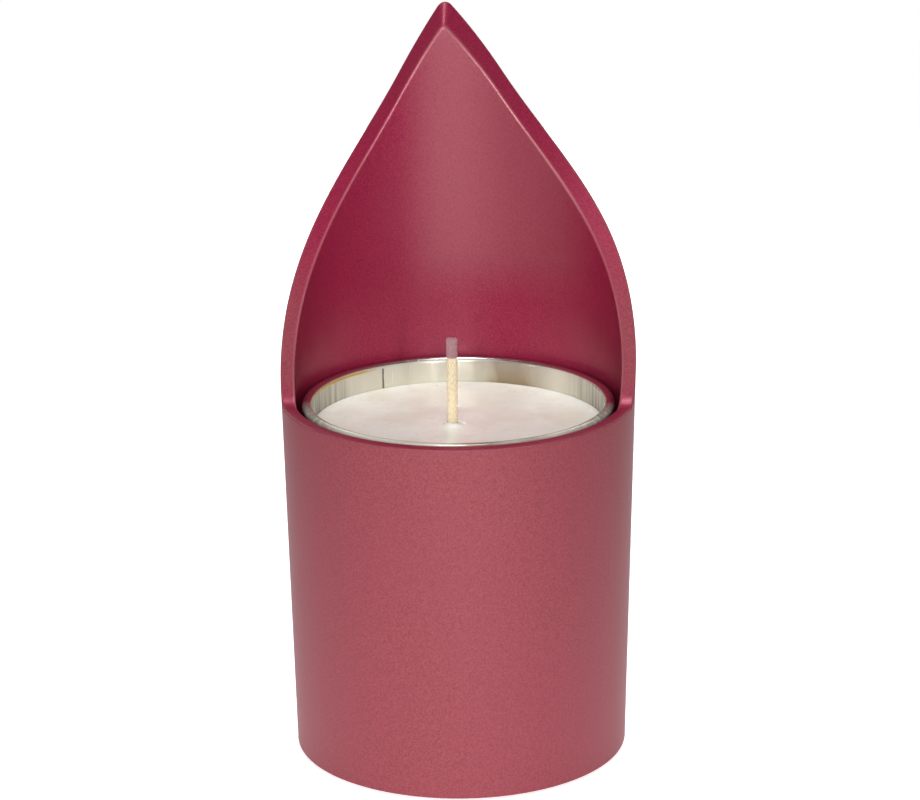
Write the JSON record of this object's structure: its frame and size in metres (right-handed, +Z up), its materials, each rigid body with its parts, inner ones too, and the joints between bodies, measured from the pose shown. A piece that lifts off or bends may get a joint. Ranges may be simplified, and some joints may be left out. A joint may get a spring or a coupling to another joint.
{
  "type": "sanctuary lamp",
  "caption": "Red metal sanctuary lamp: a tapered tube, low in front and rising behind to one pointed flame, with a tinned refill candle standing in it.",
  "frame": {"origin": "middle of the pad that the lamp stands on", "axes": "+Z up along the tube, +Y towards the back where the flame stands, +X to the right"},
  "size_m": [0.0704, 0.0716, 0.1451],
  "materials": {
    "red_metal": "satin metallic lacquer",
    "pad_felt": "pressed felt",
    "tinplate": "bright drawn tinplate",
    "seal_rubber": "soft sealing compound",
    "wax": "smooth paraffin wax",
    "tab_steel": "thin zinc-coated steel",
    "wick_cotton": "waxed cotton braid",
    "core_paper": "twisted paper core"
  },
  "bodies": {
    "holder": {"holder_tube": "red_metal", "base_disc": "red_metal", "base_pad": "pad_felt"},
    "candle": {"tin_body": "tinplate", "tin_end": "tinplate", "seam_compound": "seal_rubber", "wax": "wax", "wick_tab": "tab_steel", "wick_braid": "wick_cotton", "wick_core": "core_paper"}
  },
  "joints": [
    {"name": "candle_lift", "type": "slide", "parent": "holder", "child": "candle", "axis": [0, 0, 1], "range_m": [0, 0.15]}
  ]
}
